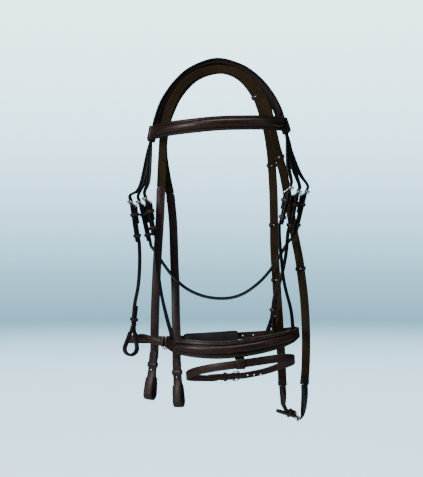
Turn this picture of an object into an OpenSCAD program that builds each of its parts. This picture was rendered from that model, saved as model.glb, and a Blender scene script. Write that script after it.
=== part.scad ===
// Snaffle bridle hanging from its crown, without a bit: headpiece, browband, cheekpieces, throatlatch,
// padded crank noseband with flash strap, and web reins draped under the crown.
// X runs across the face, -Y is the side of the horse's face, +Z is up.
// The origin is the underside of the reins at the top of the crown, where a bridle bracket holds it.

/* [Leather] */
// Thickness of one layer of strap leather
layer_t = 3; // [2.5:0.1:3.2]
// Width of the headpiece over the poll
head_w = 44; // [40:1:46]
// Width of the cheekpieces
cheek_w = 14; // [12:1:14]
// Width of the throatlatch
throat_w = 11; // [10:1:12]
// Width of the straps that hold the noseband
hanger_w = 12; // [10:1:12]
// Height of the browband
brow_h = 26; // [22:1:28]
// Height of the noseband at the middle of the nose
nose_h = 31; // [26:1:32]
// Width of the chin strap and the crank strap
chin_w = 14; // [12:1:15]
// Width of the flash strap
flash_w = 15; // [12:1:16]

/* [Reins] */
// Width of the reins
rein_w = 16; // [14:1:17]
// Thickness of the web
web_t = 2.4; // [2:0.1:2.6]
// Height of a leather hand stop
stop_h = 7; // [5:1:9]

/* [Hardware] */
// Radius of a buckle's bar
bar_r = 1.2; // [1.1:0.05:1.3]
// Length of a buckle frame from its bar to the far side of its rail
frame_l = 16; // [15:0.5:17]
// Inner radius of a cheekpiece's bit loop
cheek_loop_r = 8; // [7:0.5:8.5]
// Inner radius of a rein's bit loop
rein_loop_r = 7; // [6:0.5:7.5]

/* [Hidden] */

$fn = 32;
gap = 0.4;          // clearance round a strap inside a keeper or a buckle
wall = 1.6;         // wall of a keeper
inset = 0.2;        // how far a strap's faces lie inside those of its folded end
arm_w = 2.2;        // width and thickness of a buckle's arms
rail = 3;           // depth of the rail of a buckle
bar_in = layer_t / 2 + layer_t + 0.5; // from the middle of a billet to the bar inside it
frame_lean = 40;    // lean of a buckle frame away from its strap
tongue_lean = 50;   // lean of its tongue, which rests on the rail
tongue_w = 2.4;
tongue_t = 2;
tongue_l = 17.5;
fold_l = 32;        // stitched length of a strap folded round a buckle's bar
tail_l = 66;        // length of a billet below the bar
runner_z = -57;     // lower edge of a sliding keeper
keeper_h = 6;
bit_end_up = 60;    // height of a bit end's own strap above the bore
billet_up = 80;     // height of its turned-up billet
stud_up = 44;       // height of its stud
twist = 25;         // turn of a side strap's outer face towards -Y
twist_from = -120;  // height where it has left the browband loop

brown = "#3a2a26";
dark = "#241c1b";
olive = "#6b5a3e";
steel = "#c9c6c0";

// A route's row is [x, y, z, fan, lean]. The width direction lies fore and aft at lean 0, and in the
// XZ plane at lean 90, where fan 0 points it up, -90 to the left and 90 to the right. A sixth value
// scales the strap's width there.
function unit(v) = v / norm(v);
function at3(r) = [r[0], r[1], r[2]];
function row(p, fan, lean) = [p[0], p[1], p[2], fan, lean, 1];
function six(r) = len(r) > 5 ? r : [r[0], r[1], r[2], r[3], r[4], 1];
function width_of(r) = [sin(r[3]) * sin(r[4]), -cos(r[4]), cos(r[3]) * sin(r[4])];
function pick(p, i) = six(p[max(0, min(len(p) - 1, i))]);
function curve(a, b, c, d, u) =
    0.5 * (2 * b + (c - a) * u + (2 * a - 5 * b + 4 * c - d) * u * u + (3 * b - a - 3 * c + d) * u * u * u);
function smooth(p, n) = concat(
    [for (i = [0 : len(p) - 2], k = [0 : n - 1])
        curve(pick(p, i - 1), pick(p, i), pick(p, i + 1), pick(p, i + 2), k / n)],
    [pick(p, len(p) - 1)]);
function along(p, i) = unit(at3(p[min(len(p) - 1, i + 1)]) - at3(p[max(0, i - 1)]));
function across(p, i) = let (t = along(p, i), w = width_of(p[i])) unit(w - (w * t) * t);

// A flat strap of width w and thickness t along a route, off millimetres to one side of it and
// short of both of its ends by a number of rows
module strap(route, w, t, off = 0, short = 0) {
    n = 3;
    full = smooth(route, n);
    p = [for (i = [n * short : len(full) - 1 - n * short]) full[i]];
    m = len(p);
    points = [for (i = [0 : m - 1])
        let (a = across(p, i), f = cross(along(p, i), a), c = at3(p[i]) + off * f, h = w * p[i][5] / 2)
        each [c + h * a + t / 2 * f, c - h * a + t / 2 * f, c - h * a - t / 2 * f, c + h * a - t / 2 * f]];
    sides = [for (i = [0 : m - 2], k = [0 : 3])
        let (a = 4 * i + k, b = 4 * i + (k + 1) % 4) each [[a, a + 4, b], [b, a + 4, b + 4]]];
    ends = [[0, 1, 2], [0, 2, 3], [4 * m - 4, 4 * m - 2, 4 * m - 3], [4 * m - 4, 4 * m - 1, 4 * m - 2]];
    polyhedron(points, concat(sides, ends), convexity = 6);
}

// Puts children at a point with their Z along up and their X along out
module place(at, out, up) {
    z = unit(up);
    x = unit(out - (out * z) * z);
    y = cross(z, x);
    multmatrix([for (i = [0 : 3]) i == 3 ? [0, 0, 0, 1] : [x[i], y[i], z[i], at[i]]]) children();
}
module on_route(route, i) {
    p = [for (r = route) six(r)];
    place(at3(p[i]), cross(along(p, i), across(p, i)), along(p, i)) children();
}

// A buckle station is [point, out, up, strap width]: the point is on the billet's middle beside the
// bar, up is where the billet comes from, and out is the outer side, where the tongue shows.
// side is -1 for a left strap and 1 for a right one.
function side_station(side, x, y, z, tilt, w) = [[x, y, z],
    [side * cos(tilt) * cos(twist), -sin(twist), -sin(tilt) * cos(twist)],
    [side * sin(tilt), 0, cos(tilt)], w];
function side_of(st) = sign(st[1][0]);
function faced(points, side) = [for (p = points) row(p, -90 * side, p[2] < twist_from ? twist : 0)];
function spot(st, x, z) = st[0] + x * st[1] + z * st[2];
module at_station(st) { place(st[0], st[1], st[2]) children(); }

CHEEK_L = side_station(-1, -172, 0, -236, 5, cheek_w);
THROAT_L = side_station(-1, -157, 18, -236, 9, throat_w);
HANGER_L = side_station(-1, -143, -18, -232, 8, hanger_w);
HANGER_R = side_station(1, 118, -18, -228, 16, hanger_w);
CHEEK_R = side_station(1, 134, 0, -236, 15, cheek_w);
THROAT_R = side_station(1, 150, 18, -236, 17, throat_w);
CHIN = [[-20, 46, -490], [0, 1, 0], [1, 0, 0], chin_w];
FLASH = [[-4, 12, -561], [0, 1, 0], [1, 0, 0], flash_w - 3];
BIGHT = [[104, 20, -643], [-0.36, 0, -0.93], [0.93, 0, -0.36], rein_w - 3];

// The billet's straight run past its buckle
function past_buckle(st, fan, lean, tail) = [for (z = [22, 9, -20, -tail]) row(spot(st, 0, z), fan, lean)];
// The strap below its fold, from the stitching down past the sliding keeper
function below_fold(st, last) = [for (z = [-30, -44, last + 8, last])
    row(spot(st, layer_t / 2 - bar_in - inset, z), -90 * side_of(st), twist)];

module bar_hole(w) { translate([-bar_in, w, 0]) rotate([90, 0, 0]) cylinder(r = bar_r + 0.05, h = 2 * w); }
module fold(w, l = fold_l) {
    difference() {
        union() {
            translate([-bar_in, w / 2, 0]) rotate([90, 0, 0]) cylinder(r = layer_t + 0.1, h = w);
            translate([-bar_in - layer_t, -w / 2, -l]) cube([2 * layer_t, w, l]);
        }
        bar_hole(w);
        translate([-bar_in - 5, -1.7, -3.2]) cube([9, 3.4, 8]);
    }
}
module buckle(w) {
    inner = w + 2 * gap + 0.8;
    outer = inner + 2 * arm_w;
    translate([-bar_in, 0, 0]) rotate([0, frame_lean, 0]) {
        difference() {
            translate([-arm_w / 2, -outer / 2, -1.6]) cube([arm_w, outer, frame_l + 1.6]);
            translate([-arm_w, -inner / 2, -3]) cube([2 * arm_w, inner, frame_l - rail + 3]);
            for (s = [-1, 1])
                translate([0, s * outer / 2, frame_l]) rotate([45, 0, 0]) cube([9, 2, 2], center = true);
        }
        translate([0, inner / 2 + 1, 0]) rotate([90, 0, 0]) cylinder(r = bar_r, h = inner + 2);
    }
}
module tongue() {
    translate([-bar_in, 0, 0]) rotate([0, tongue_lean, 0]) difference() {
        union() {
            translate([0, tongue_w / 2, 0]) rotate([90, 0, 0]) cylinder(r = 2.3, h = tongue_w);
            translate([-tongue_t / 2, -tongue_w / 2, 0]) cube([tongue_t, tongue_w, tongue_l]);
        }
        translate([0, 4, 0]) rotate([90, 0, 0]) cylinder(r = bar_r + 0.05, h = 8);
    }
}
// The hole that the tongue passes, and the spare holes at heights z
module tongue_holes(spare = [-26, -40]) {
    translate([-4, -1.6, -0.3]) cube([8, 3.2, 7.8]);
    for (z = spare) translate([-4, 0, z]) rotate([0, 90, 0]) cylinder(r = 1.5, h = 8);
}
module keeper(w, deep, h = keeper_h) {
    y = w / 2 + gap;
    x = layer_t / 2 + gap;
    difference() {
        translate([-deep - gap - wall, -y - wall, 0]) cube([deep + x + gap + 2 * wall, 2 * (y + wall), h]);
        translate([-deep - gap, -y, -1]) cube([deep + x + gap, 2 * y, h + 2]);
    }
}
doubled = bar_in + layer_t;   // depth of a folded strap behind its billet's middle
single = bar_in;              // depth of a single strap there
module fixed_keeper(w) { translate([0, 0, -18]) keeper(w, doubled); }
module runner(w) { translate([0, 0, runner_z]) keeper(w, single); }

// A strap's end turned up round a bit ring: its own leg is on -X, and the billet is on +X
module bit_end(r, t, w, up, billet) {
    ro = r + t + 2;
    difference() {
        translate([0, w / 2, 0]) rotate([90, 0, 0]) linear_extrude(w) difference() {
            union() {
                circle(r = ro, $fn = 64);
                polygon([[-ro + 0.3, 2], [-t - 0.3, 39], [-t - 0.3, up], [-0.3, up], [-0.3, 38],
                    [0.3, 38], [0.3, billet - 3], [t / 2 + 0.3, billet], [t + 0.3, billet - 3], [t + 0.3, 39],
                    [ro - 0.3, 2]]);
            }
            circle(r = r, $fn = 64);
            polygon([[-r + 0.3, 2], [-0.3, 33], [-0.3, 39], [0.3, 39], [0.3, 33], [r - 0.3, 2]]);
        }
        translate([-t - 2, 0, stud_up]) rotate([0, 90, 0]) cylinder(r = 1.6, h = 2 * t + 4);
    }
}
module stud(t) {
    translate([-t - 1.6, 0, stud_up]) rotate([0, 90, 0]) cylinder(r = 3, h = 1.2);
    translate([-t - 1, 0, stud_up]) rotate([0, 90, 0]) cylinder(r = 1.2, h = 2 * t + 2.6);
    translate([t + 0.8, 0, stud_up]) rotate([0, 90, 0]) cylinder(r = 2.4, h = 1.6);
}
module bit_end_keeper(w, t, z) {
    translate([0, 0, z]) difference() {
        translate([-t - 0.3 - gap - wall, -w / 2 - gap - wall, 0])
            cube([2 * (t + 0.3 + gap + wall), w + 2 * (gap + wall), keeper_h]);
        translate([-t - 0.3 - gap, -w / 2 - gap, -1]) cube([2 * (t + 0.3 + gap), w + 2 * gap, keeper_h + 2]);
    }
}

// ---- headpiece and browband
HEAD = [[-128, 0, -100, 0, 0, 0.92], [-120, 0, -74, 0, 0], [-106, 0, -43, 0, 0], [-81, 0, -11, 0, 0],
    [-48, 0, 14, 0, 0], [0, 0, 27, 0, 0], [46, 0, 13, 0, 0], [78, 0, -12, 0, 0], [101, 0, -43, 0, 0],
    [115, 0, -74, 0, 0], [121, 0, -100, 0, 0, 0.92]];
BROW = [[-123, -26.5, -104, 0, 90], [-113, -50, -104, 0, 90], [-90, -73, -103, 0, 90],
    [-50, -89, -102, 0, 90],
    [-4, -94, -101, 0, 90], [42, -89, -102, 0, 90], [82, -74, -103, 0, 90], [108, -50, -104, 0, 90],
    [117, -26.5, -104, 0, 90]];
brow_ends = [-126, 119];
module headpiece() { color(dark) strap(HEAD, head_w, 4, 2); }
module headpiece_padding() {
    color(brown) strap(HEAD, head_w - 8, 4.4, 6.5, 1);
}
// The loop at the browband's end that the headpiece and the billets pass through
module brow_loop() {
    loop_t = 2;
    inner = [9, 51];
    difference() {
        translate([-4 - loop_t, -inner[1] / 2 - loop_t, -brow_h / 2])
            cube([inner[0] + 2 * loop_t, inner[1] + 2 * loop_t, brow_h]);
        translate([-4, -inner[1] / 2, -brow_h]) cube([inner[0], inner[1], 2 * brow_h]);
    }
}
module browband() {
    color(brown) {
        strap(BROW, brow_h, layer_t + 0.5);
        for (x = brow_ends) place([x, 0, -104], [sign(x), 0, 0], [-0.26 * sign(x), 0, 1]) brow_loop();
    }
}
module browband_padding() {
    color(brown) strap(BROW, brow_h / 2, 3.2, 3.6, 1);
}

// ---- cheekpieces
module billet(start, st, tail) {
    side = side_of(st);
    difference() {
        strap(concat(faced(start, side), past_buckle(st, -90 * side, twist, tail)), st[3], layer_t);
        at_station(st) tongue_holes();
    }
}
BIT_L = [[-190, 0, -497], [cos(twist), sin(twist), 0], [0.17, 0, 0.985]];
BIT_R = [[68, 0, -495], [-cos(twist), sin(twist), 0], [0.18, 0, 0.984]];
module cheek_billet_left() {
    color(dark) billet([[-129, 0, -110], [-136, 0, -140], [-150, 0, -190], [-159, 0, -206]], CHEEK_L, tail_l);
}
module cheek_billet_right() {
    color(dark) billet([[121.5, 0, -110], [125, 0, -140], [130, 0, -180]], CHEEK_R, tail_l);
}
module cheek_strap(st, middle, bit) {
    side = side_of(st);
    at_station(st) fold(st[3]);
    strap(concat(below_fold(st, -70), faced(middle, side),
        [for (z = [85, 61]) row(spot(bit, -layer_t / 2 - 0.3, z), -90 * side, twist)]),
        st[3] - 2 * inset, layer_t);
}
module cheek_strap_left() {
    color(brown) cheek_strap(CHEEK_L, [[-164, 0, -340], [-169, 0, -380]], BIT_L);
}
module cheek_strap_right() {
    color(brown) cheek_strap(CHEEK_R, [[107, 0, -340], [97, 0, -378]], BIT_R);
}
module cheek_bit_end(bit) {
    color(brown) at_station(bit) bit_end(cheek_loop_r, layer_t, cheek_w, bit_end_up, billet_up);
}
module cheek_bit_end_left() { cheek_bit_end(BIT_L); }
module cheek_bit_end_right() { cheek_bit_end(BIT_R); }
module cheek_buckle_left() { color(steel) at_station(CHEEK_L) buckle(cheek_w); }
module cheek_buckle_right() { color(steel) at_station(CHEEK_R) buckle(cheek_w); }
module cheek_tongue_left() { color(steel) at_station(CHEEK_L) tongue(); }
module cheek_tongue_right() { color(steel) at_station(CHEEK_R) tongue(); }
module cheek_keepers(st, bit) {
    color(brown) {
        at_station(st) fixed_keeper(cheek_w);
        at_station(bit) bit_end_keeper(cheek_w, layer_t, 51);
    }
}
module cheek_keepers_left() { cheek_keepers(CHEEK_L, BIT_L); }
module cheek_keepers_right() { cheek_keepers(CHEEK_R, BIT_R); }
module cheek_runner_left() { color(brown) at_station(CHEEK_L) runner(cheek_w); }
module cheek_runner_right() { color(brown) at_station(CHEEK_R) runner(cheek_w); }
module cheek_stud_left() { color(steel) at_station(BIT_L) stud(layer_t); }
module cheek_stud_right() { color(steel) at_station(BIT_R) stud(layer_t); }

// ---- throatlatch
THROAT = [[-133, 17, -324, 85, twist], [-121, 16, -345, 70, twist], [-104, 15, -370, 55, twist],
    [-80, 15, -394, 35, twist], [-48, 15, -410, 15, twist], [-12, 15, -416, 0, twist],
    [20, 15, -411, -12, twist], [50, 15, -394, -30, twist], [74, 16, -372, -50, twist],
    [95, 18, -345, -70, twist], [112, 20, -321, -85, twist]];
function flip(p) = [for (i = [len(p) - 1 : -1 : 0]) p[i]];
module throat_billets() {
    color(dark) {
        billet([[-129, 14, -110], [-134, 15, -140], [-148, 17, -190]], THROAT_L, tail_l);
        billet([[120, 14, -110], [126, 15, -140], [142, 17, -190]], THROAT_R, tail_l);
    }
}
module throat_strap() {
    color(dark) {
        at_station(THROAT_L) fold(throat_w);
        at_station(THROAT_R) fold(throat_w);
        strap(concat(below_fold(THROAT_L, -76), THROAT, flip(below_fold(THROAT_R, -76))),
            throat_w - 2 * inset, layer_t);
    }
}
module throat_buckles() { color(steel) for (st = [THROAT_L, THROAT_R]) at_station(st) buckle(throat_w); }
module throat_keepers() {
    color(brown) for (st = [THROAT_L, THROAT_R]) at_station(st) {
        fixed_keeper(throat_w);
        runner(throat_w);
    }
}
module throat_tongue_left() { color(steel) at_station(THROAT_L) tongue(); }
module throat_tongue_right() { color(steel) at_station(THROAT_R) tongue(); }

// ---- noseband
NOSE = [[-119, -33.6, -489.5, 0, 90, 0.6], [-104, -53, -493, 0, 90, 0.85], [-70, -71, -498, 0, 90],
    [-25, -80, -502, 0, 90], [25, -80, -500, 0, 90], [70, -66, -495, 0, 90, 0.95],
    [104, -38, -490, 0, 90, 0.8], [121, -8, -485, 0, 90, 0.6]];
CRANK = [[-131.5, -24.2, -486, 0, 90], [-138, -22, -485.5, 0, 90], [-149, -17, -482, 0, 90],
    [-160, -8, -479, 0, 90], [-166, 8, -479, 0, 90],
    [-173, 22, -480, 0, 90], [-186, 30, -482, 0, 90], [-195, 35, -483, 0, 90], [-196, 41, -484, 0, 90],
    [-187, 45, -485, 0, 90], [-160, 46, -487, 0, 90], [-122, 46, -489, 0, 90], [-80, 46, -490, 0, 90]];
CHIN_SIDE = [[114.5, -11.5, -485, 0, 90], [118.5, -4, -484, 0, 90], [121, 8, -484, 0, 90],
    [117, 25, -484, 0, 90], [104, 38, -486, 0, 90], [84, 44, -488, 0, 90], [60, 46, -490, 0, 90]];
module noseband_billets() {
    color(dark) {
        billet([[-129, -14, -110], [-132, -15, -140], [-138, -17, -190]], HANGER_L, 60);
        billet([[121.5, -14, -110], [121.5, -15, -140], [120, -17, -180]], HANGER_R, 60);
    }
}
module noseband_hangers() {
    color(dark) {
        at_station(HANGER_L) fold(hanger_w);
        at_station(HANGER_R) fold(hanger_w);
        strap(concat(below_fold(HANGER_L, -66), [[-131, -20, -340, 90, twist], [-126, -24, -400, 90, twist],
            [-118, -31, -446, 90, 30], [-112, -35.5, -472, 90, 38], [-112, -35.5, -490, 90, 38]]),
            hanger_w - 2 * inset, layer_t);
        strap(concat(below_fold(HANGER_R, -66), [[96, -21, -330, -90, twist], [99, -22, -390, -90, twist],
            [108, -22, -440, -90, 27], [110, -18.5, -470, -90, 30], [110, -18.5, -486, -90, 30]]),
            hanger_w - 2 * inset, layer_t);
    }
}
module noseband_buckles() { color(steel) for (st = [HANGER_L, HANGER_R]) at_station(st) buckle(hanger_w); }
module noseband_keepers() {
    color(brown) {
        for (st = [HANGER_L, HANGER_R]) at_station(st) {
            fixed_keeper(hanger_w);
            translate([0, 0, 8]) runner(hanger_w);
        }
        at_station(CHIN) fixed_keeper(chin_w);
    }
}
module noseband_tongue_left() { color(steel) at_station(HANGER_L) tongue(); }
module noseband_tongue_right() { color(steel) at_station(HANGER_R) tongue(); }
module noseband_band() {
    color(brown) {
        strap(NOSE, nose_h, layer_t + 1);
        ring_fold(1, 18);
    }
}
module noseband_padding() {
    color(brown) strap(NOSE, nose_h / 2, 4, 4.2, 1);
}
RING = [[-125.5, -28.5, -487.5], [-0.6, -0.8, 0], [0, 0, 1]];
ring_bar = 2.4;     // thickness of the ring's bars
ring_in = [6.6, 20.4];
module crank_ring() {
    color(steel) at_station(RING) difference() {
        cube([ring_bar, ring_in[0] + 2 * ring_bar, ring_in[1] + 2 * ring_bar], center = true);
        cube([2 * ring_bar, ring_in[0], ring_in[1]], center = true);
    }
}
// A strap's end folded round one upright bar of the ring
module ring_fold(side, h) {
    at_station(RING) translate([0, (ring_in[0] + ring_bar) / 2 * side, 0]) difference() {
        cylinder(r = 4.2, h = h, center = true);
        cylinder(r = 2, h = h + 2, center = true);
    }
}
module crank_strap() {
    color(brown) {
        strap(CRANK, chin_w, layer_t);
        ring_fold(-1, chin_w);
    }
}
// The pad lies against the jaw; the crank strap ends in a block on its back, and the chin buckle's
// strap is folded beside it
module chin_pad() {
    pad = [102, 3, 22];
    block = [36, 9, chin_w];
    color(dark) {
        at_station(CHIN) fold(chin_w, 24);
        translate([-76, 35, CHIN[0][2] - block[2] / 2]) cube(block);
        translate([-92, 32.6, CHIN[0][2] - pad[2] / 2]) cube(pad);
    }
}
module chin_strap() {
    color(brown) difference() {
        strap(concat(CHIN_SIDE, past_buckle(CHIN, 0, 90, 44)), chin_w, layer_t);
        at_station(CHIN) tongue_holes([39, 59]);
    }
}
module chin_buckle() { color(steel) at_station(CHIN) buckle(chin_w); }
module chin_tongue() { color(steel) at_station(CHIN) tongue(); }

// ---- flash strap
// A loop under the noseband that the flash strap hangs in, on a tab stitched behind the band
module flash_loop() {
    loop = [14, 14.6, 18];
    wide = [loop[0] + 2, 6.8, 14];
    tab = [loop[0], 2.4, 20];
    color(brown) {
        translate([1, -90.6, -537]) difference() {
            cube(loop);
            translate([-1, 2, 2]) cube(wide);
        }
        translate([1, -78.4, -520]) cube(tab);
    }
}
FLASH_FRONT = [[-40, 6, -562, 0, 90], [-66, 4, -560, 0, 90], [-84, -8, -556, 0, 90], [-89, -28, -550, 0, 90],
    [-76, -54, -541, 0, 90], [-42, -77, -533, 0, 90], [8, -85.2, -528, 0, 90], [52, -78, -525, 0, 90],
    [86, -60, -525, 0, 90], [107, -34, -530, 0, 90], [105, -12, -538, 0, 90], [84, 5, -547, 0, 90],
    [54, 12, -556, 0, 90]];
module flash_strap() {
    start = [for (z = [-22, -28]) row(spot(FLASH, layer_t / 2 - bar_in - inset, z), 0, 90)];
    path = concat(start, FLASH_FRONT, past_buckle(FLASH, 0, 90, 50));
    color(brown) {
        at_station(FLASH) fold(FLASH[3], 24);
        difference() {
            strap(path, FLASH[3] - 2 * inset, layer_t);
            at_station(FLASH) tongue_holes([27, 39, 51]);
        }
    }
}
module flash_buckle() { color(steel) at_station(FLASH) buckle(FLASH[3]); }
module flash_tongue() { color(steel) at_station(FLASH) tongue(); }
module flash_keeper() { color(brown) at_station(FLASH) fixed_keeper(FLASH[3]); }

// ---- reins
REIN_NEAR = [[-116, 0, -202, -90, 90], [-112, -3, -165, -90, 90], [-106, -8, -118, -88, 90],
    [-98, -11, -78, -80, 84], [-84, -12, -46, -62, 74], [-62, -13, -16, -45, 62], [-32, -13, 2, -22, 54],
    [0, -13, 7, 0, 50], [30, -13, 2, 22, 54], [56, -12, -14, 45, 62], [76, -9, -39, 62, 72],
    [88, -5, -67, 78, 82], [94, -1, -98, 86, 88], [101, 4, -137, 90, 90], [106, 7, -160, 90, 90],
    [114, 17, -200, 90, 90], [121, 32, -250, 90, 90], [127, 38, -300, 90, 90], [133, 37, -345, 90, 90],
    [135, 34, -370, 90, 90], [138, 28, -430, 90, 90], [137, 24, -490, 90, 90], [133, 21, -545, 90, 90],
    [128, 20, -585, 90, 90]];
REIN_OFF = [[-101, 30, -215, -90, 90], [-106, 26, -180, -90, 90], [-109, 20, -135, -90, 90],
    [-104, 15, -98, -88, 86], [-90, 10, -62, -70, 72], [-69, 7, -29, -48, 60], [-38, 4, -3, -24, 52],
    [0, 3, 7, 0, 50], [29, 3, 1, 22, 54], [52, 4, -17, 42, 62], [70, 5, -45, 62, 74],
    [78, 6, -68, 80, 84], [87, 8, -108, 88, 90], [91, 12, -145, 90, 90], [92, 16, -174, 90, 90],
    [92, 23, -230, 90, 90], [90, 28, -285, 90, 90], [88, 31, -330, 90, 90], [88, 30, -388, 90, 90],
    [88, 24, -445, 90, 90], [88, 21, -490, 90, 90], [88, 22, -540, 90, 90], [87, 22, -585, 90, 90]];
stops_near = [14, 19];
stops_off = [10, 14, 16, 18];
module stop() {
    x = web_t + 2 * gap;
    y = rein_w + 2 * gap;
    difference() {
        cube([x + 2 * wall, y + 2 * wall, stop_h], center = true);
        cube([x, y, stop_h + 2], center = true);
    }
}
module rein_web_near() { color(olive) strap(REIN_NEAR, rein_w, web_t); }
module rein_web_off() { color(olive) strap(REIN_OFF, rein_w, web_t); }
module rein_stops() {
    color(brown) {
        for (i = stops_near) on_route(REIN_NEAR, i) stop();
        for (i = stops_off) on_route(REIN_OFF, i) stop();
    }
}
module rivet() {
    for (s = [-1, 1]) translate([s * (web_t / 2 + gap + wall + 0.6), 0, 0]) rotate([0, 90, 0])
        cylinder(r = 2.2, h = 1, center = true);
}
module rein_stop_rivets() {
    color(steel) {
        for (i = stops_near) on_route(REIN_NEAR, i) rivet();
        for (i = stops_off) on_route(REIN_OFF, i) rivet();
    }
}
REIN_BIT_NEAR = [[-160, 8, -583], [-0.42, -0.91, 0], [0.15, 0, 0.985]];
REIN_BIT_OFF = [[-108, 20, -602], [-0.3, -0.95, 0], [0, 0, 1]];
module rein_end(top, bit) {
    color(brown) {
        at_station(bit) bit_end(rein_loop_r, layer_t, rein_w, bit_end_up, billet_up);
        strap(concat(top, [for (z = [80, 59]) row(spot(bit, -layer_t / 2 - 0.3, z), -90, 90)]),
            rein_w, layer_t);
    }
}
module rein_end_near() {
    rein_end([[-116, 0, -203.5, -90, 90], [-121, -2, -255, -90, 90], [-129, -4, -320, -90, 90],
        [-137, -1, -390, -90, 90], [-143, 5, -450, -90, 90]], REIN_BIT_NEAR);
}
module rein_end_off() {
    rein_end([[-101, 30, -216.5, -90, 90], [-99, 31, -270, -90, 90], [-101, 33, -340, -90, 90],
        [-102, 31, -390, -90, 90], [-104, 24, -440, -90, 90], [-105, 20, -485, -90, 90]], REIN_BIT_OFF);
}
module rein_stud_near() { color(steel) at_station(REIN_BIT_NEAR) stud(layer_t); }
module rein_stud_off() { color(steel) at_station(REIN_BIT_OFF) stud(layer_t); }
module rein_end_keepers_near() { color(brown) at_station(REIN_BIT_NEAR) bit_end_keeper(rein_w, layer_t, 52); }
module rein_end_keepers_off() { color(brown) at_station(REIN_BIT_OFF) bit_end_keeper(rein_w, layer_t, 52); }
BIGHT_END = [[128, 20, -587, 90, 90], [125, 20, -608, 90, 60], [122, 20, -626, 90, 25]];
module rein_billet_end() {
    color(dark) difference() {
        strap(concat(BIGHT_END, past_buckle(BIGHT, 90, 0, 34)), rein_w - 3, layer_t);
        at_station(BIGHT) translate([-4, -1.6, -0.3]) cube([8, 3.2, 7.8]);
    }
}
module rein_buckle_end() {
    end = [for (z = [-16, -10]) row(spot(BIGHT, -bar_in - layer_t / 2, z), 90, 0)];
    color(dark) {
        strap(concat([[87, 22, -587, 90, 90], [87, 20, -605, 90, 60], [86, 20, -620, 90, 25]], end),
            rein_w - 3, layer_t);
        at_station(BIGHT) fold(rein_w - 3, 13);
    }
}
module rein_buckle() { color(steel) at_station(BIGHT) buckle(rein_w - 3); }
module rein_tongue() { color(steel) at_station(BIGHT) tongue(); }
module rein_bight_keeper() {
    color(brown) at_station(BIGHT) translate([0, 0, -11]) keeper(rein_w - 3, doubled, 5);
}

headpiece();
headpiece_padding();
browband();
browband_padding();
rein_web_near();
rein_web_off();
rein_stops();
rein_stop_rivets();
cheek_billet_left();
cheek_strap_left();
cheek_bit_end_left();
cheek_buckle_left();
cheek_tongue_left();
cheek_keepers_left();
cheek_runner_left();
cheek_stud_left();
cheek_billet_right();
cheek_strap_right();
cheek_bit_end_right();
cheek_buckle_right();
cheek_tongue_right();
cheek_keepers_right();
cheek_runner_right();
cheek_stud_right();
throat_billets();
throat_strap();
throat_buckles();
throat_keepers();
throat_tongue_left();
throat_tongue_right();
noseband_billets();
noseband_hangers();
noseband_buckles();
noseband_keepers();
noseband_tongue_left();
noseband_tongue_right();
noseband_band();
noseband_padding();
crank_ring();
crank_strap();
chin_pad();
chin_strap();
chin_buckle();
chin_tongue();
flash_loop();
flash_strap();
flash_buckle();
flash_tongue();
flash_keeper();
rein_end_near();
rein_end_off();
rein_stud_near();
rein_stud_off();
rein_end_keepers_near();
rein_end_keepers_off();
rein_buckle_end();
rein_billet_end();
rein_buckle();
rein_tongue();
rein_bight_keeper();
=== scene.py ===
"""A snaffle bridle hanging from its crown, built round the CAD frame."""
import math

import bmesh
import bpy
from mathutils import Matrix, Vector


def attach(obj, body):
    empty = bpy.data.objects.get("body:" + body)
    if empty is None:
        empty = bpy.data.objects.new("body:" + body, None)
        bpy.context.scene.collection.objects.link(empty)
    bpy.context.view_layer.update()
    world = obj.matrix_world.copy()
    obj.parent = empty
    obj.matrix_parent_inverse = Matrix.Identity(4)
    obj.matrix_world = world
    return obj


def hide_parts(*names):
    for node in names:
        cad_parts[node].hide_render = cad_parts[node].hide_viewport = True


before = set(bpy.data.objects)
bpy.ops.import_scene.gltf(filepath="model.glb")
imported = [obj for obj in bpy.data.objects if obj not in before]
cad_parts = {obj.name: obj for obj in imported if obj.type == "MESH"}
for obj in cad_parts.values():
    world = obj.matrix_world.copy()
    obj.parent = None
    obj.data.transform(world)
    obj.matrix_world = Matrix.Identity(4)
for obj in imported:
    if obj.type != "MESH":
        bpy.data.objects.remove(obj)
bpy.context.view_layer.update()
MM = 0.001
UPRIGHT = (0, 0, 1)
scene = bpy.context.scene

# ---- camera, light and floor. The bridle hangs a little out of true with all three.
HANG = math.radians(3.5)
EYE = (-0.0287, -2.0, -0.3031)
LENS, SENSOR = 81.6, 36
MIDDLE = (0, 0, -0.3)
WHITE, COOL, COOLER = (1, 1, 1), (0.95, 0.98, 1), (0.93, 0.97, 1)
# name: (place, aim, size, power, tint)
LAMPS = {
    "key": ((-1.5, -2.0, 0.7), MIDDLE, (0.5, 1.5), 46, WHITE),
    "fill": ((1.9, -1.7, 0.1), MIDDLE, (0.5, 1.5), 5, COOLER),
    "top": ((0.1, -0.4, 1.7), (0, 0, -0.2), (1.4, 0.8), 24, WHITE),
    "side": ((-2.3, -0.8, 0.0), MIDDLE, (0.35, 1.3), 4, WHITE),
    "behind": ((0.2, 2.3, 1.5), MIDDLE, (1.4, 0.8), 16, COOL)}
# The backdrop and the floor are bright for the camera and light the bridle only weakly.
WORLD_SEEN, WORLD_LIGHT, FLOOR_SEEN = 4.2, 0.07, 2.15
BACKDROP_SPAN = (-0.25, 0.45)
BACKDROP = [(0.12, (0.35, 0.56, 0.70)), (0.19, (0.18, 0.36, 0.45)), (0.25, (0.08, 0.17, 0.22)),
            (0.31, (0.12, 0.24, 0.31)), (0.40, (0.25, 0.44, 0.55)), (0.50, (0.42, 0.70, 0.82)),
            (0.70, (0.66, 0.90, 1.0))]
FLOOR_LEVEL, FLOOR_RADIUS = -0.95, 14
FLOOR_FADE = (2.0, 7.0)


def add(name, data):
    """Puts a mesh, a light or a camera in the scene."""
    obj = bpy.data.objects.new(name, data)
    scene.collection.objects.link(obj)
    return obj


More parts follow.
